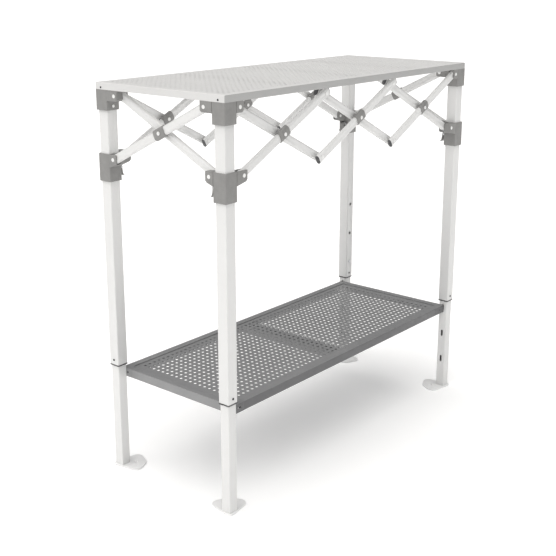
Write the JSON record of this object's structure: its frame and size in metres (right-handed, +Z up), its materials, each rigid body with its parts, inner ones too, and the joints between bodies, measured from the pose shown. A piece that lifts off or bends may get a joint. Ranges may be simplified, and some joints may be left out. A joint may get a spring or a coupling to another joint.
{
  "type": "camp kitchen table",
  "caption": "Standing-height camp kitchen table with a perforated worktop on a pop-up scissor frame, telescopic square legs and a hooked-in perforated shelf.",
  "frame": {"origin": "on the floor under the middle of the worktop", "axes": "+X along the long side, +Y from front to back along the short side, +Z up"},
  "size_m": [0.92, 0.376, 0.9],
  "materials": {
    "worktop_paint": "satin",
    "bare_aluminium": "satin",
    "grey_plastic": "matt",
    "dark_plastic": "matt",
    "zinc_steel": "satin",
    "rivet_steel": "satin",
    "black_screws": "satin",
    "shelf_paint": "satin",
    "white_paint": "satin"
  },
  "bodies": {
    "frame": {"top_panel": "worktop_paint", "top_ribs": "bare_aluminium", "top_bracket_front_left": "grey_plastic", "top_bracket_front_right": "grey_plastic", "top_bracket_back_left": "grey_plastic", "top_bracket_back_right": "grey_plastic", "slider_front_left": "grey_plastic", "slider_front_right": "grey_plastic", "slider_back_left": "grey_plastic", "slider_back_right": "grey_plastic", "latch_pins": "zinc_steel", "latch_springs": "zinc_steel", "upper_leg_front_left": "white_paint", "upper_leg_front_right": "white_paint", "upper_leg_back_left": "white_paint", "upper_leg_back_right": "white_paint", "lower_leg_front_left": "white_paint", "lower_leg_front_right": "white_paint", "lower_leg_back_left": "white_paint", "lower_leg_back_right": "white_paint", "leg_bushings": "dark_plastic", "foot_front_left": "white_paint", "foot_front_right": "white_paint", "foot_back_left": "white_paint", "foot_back_right": "white_paint", "front_rising_bar_1": "white_paint", "front_rising_bar_2": "white_paint", "front_rising_bar_3": "white_paint", "front_falling_bar_1": "white_paint", "front_falling_bar_2": "white_paint", "front_falling_bar_3": "white_paint", "back_rising_bar_1": "white_paint", "back_rising_bar_2": "white_paint", "back_rising_bar_3": "white_paint", "back_falling_bar_1": "white_paint", "back_falling_bar_2": "white_paint", "back_falling_bar_3": "white_paint", "left_bar_to_front": "white_paint", "left_bar_to_back": "white_paint", "right_bar_to_front": "white_paint", "right_bar_to_back": "white_paint", "crossing_sleeves": "grey_plastic", "bar_plugs": "dark_plastic", "scissor_rivets": "rivet_steel", "bracket_rivets": "rivet_steel", "small_screws": "black_screws", "shelf_rails": "shelf_paint", "shelf_crossbar": "shelf_paint", "shelf_panel_left": "shelf_paint", "shelf_panel_right": "shelf_paint", "shelf_corners": "shelf_paint"},
    "latch_front_left": {"latch_lever_front_left": "grey_plastic"},
    "button_front_left": {"snap_button_front_left": "zinc_steel"},
    "latch_front_right": {"latch_lever_front_right": "grey_plastic"},
    "button_front_right": {"snap_button_front_right": "zinc_steel"},
    "latch_back_left": {"latch_lever_back_left": "grey_plastic"},
    "button_back_left": {"snap_button_back_left": "zinc_steel"},
    "latch_back_right": {"latch_lever_back_right": "grey_plastic"},
    "button_back_right": {"snap_button_back_right": "zinc_steel"}
  },
  "joints": [
    {"name": "lift_latch_front_left", "type": "hinge", "parent": "frame", "child": "latch_front_left", "pos_m": [-0.4425, -0.1483, 0.712], "axis": [1, 0, 0], "range_deg": [0, 16], "stiffness_Nm_per_rad": 0.05, "springref_deg": -22.92},
    {"name": "press_button_front_left", "type": "slide", "parent": "frame", "child": "button_front_left", "axis": [0, -1, 0], "range_m": [0, 0.0034], "stiffness_N_per_m": 1200, "springref_m": -0.003},
    {"name": "lift_latch_front_right", "type": "hinge", "parent": "frame", "child": "latch_front_right", "pos_m": [0.4425, -0.1483, 0.712], "axis": [1, 0, 0], "range_deg": [0, 16], "stiffness_Nm_per_rad": 0.05, "springref_deg": -22.92},
    {"name": "press_button_front_right", "type": "slide", "parent": "frame", "child": "button_front_right", "axis": [0, -1, 0], "range_m": [0, 0.0034], "stiffness_N_per_m": 1200, "springref_m": -0.003},
    {"name": "lift_latch_back_left", "type": "hinge", "parent": "frame", "child": "latch_back_left", "pos_m": [-0.4203, 0.1705, 0.712], "axis": [0, -1, 0], "range_deg": [0, 16], "stiffness_Nm_per_rad": 0.05, "springref_deg": -22.92},
    {"name": "press_button_back_left", "type": "slide", "parent": "frame", "child": "button_back_left", "axis": [-1, 0, 0], "range_m": [0, 0.0034], "stiffness_N_per_m": 1200, "springref_m": -0.003},
    {"name": "lift_latch_back_right", "type": "hinge", "parent": "frame", "child": "latch_back_right", "pos_m": [0.4203, 0.1705, 0.712], "axis": [0, 1, 0], "range_deg": [0, 16], "stiffness_Nm_per_rad": 0.05, "springref_deg": -22.92},
    {"name": "press_button_back_right", "type": "slide", "parent": "frame", "child": "button_back_right", "axis": [0, 1, 0], "range_m": [0, 0.0034], "stiffness_N_per_m": 1200, "springref_m": -0.003}
  ]
}
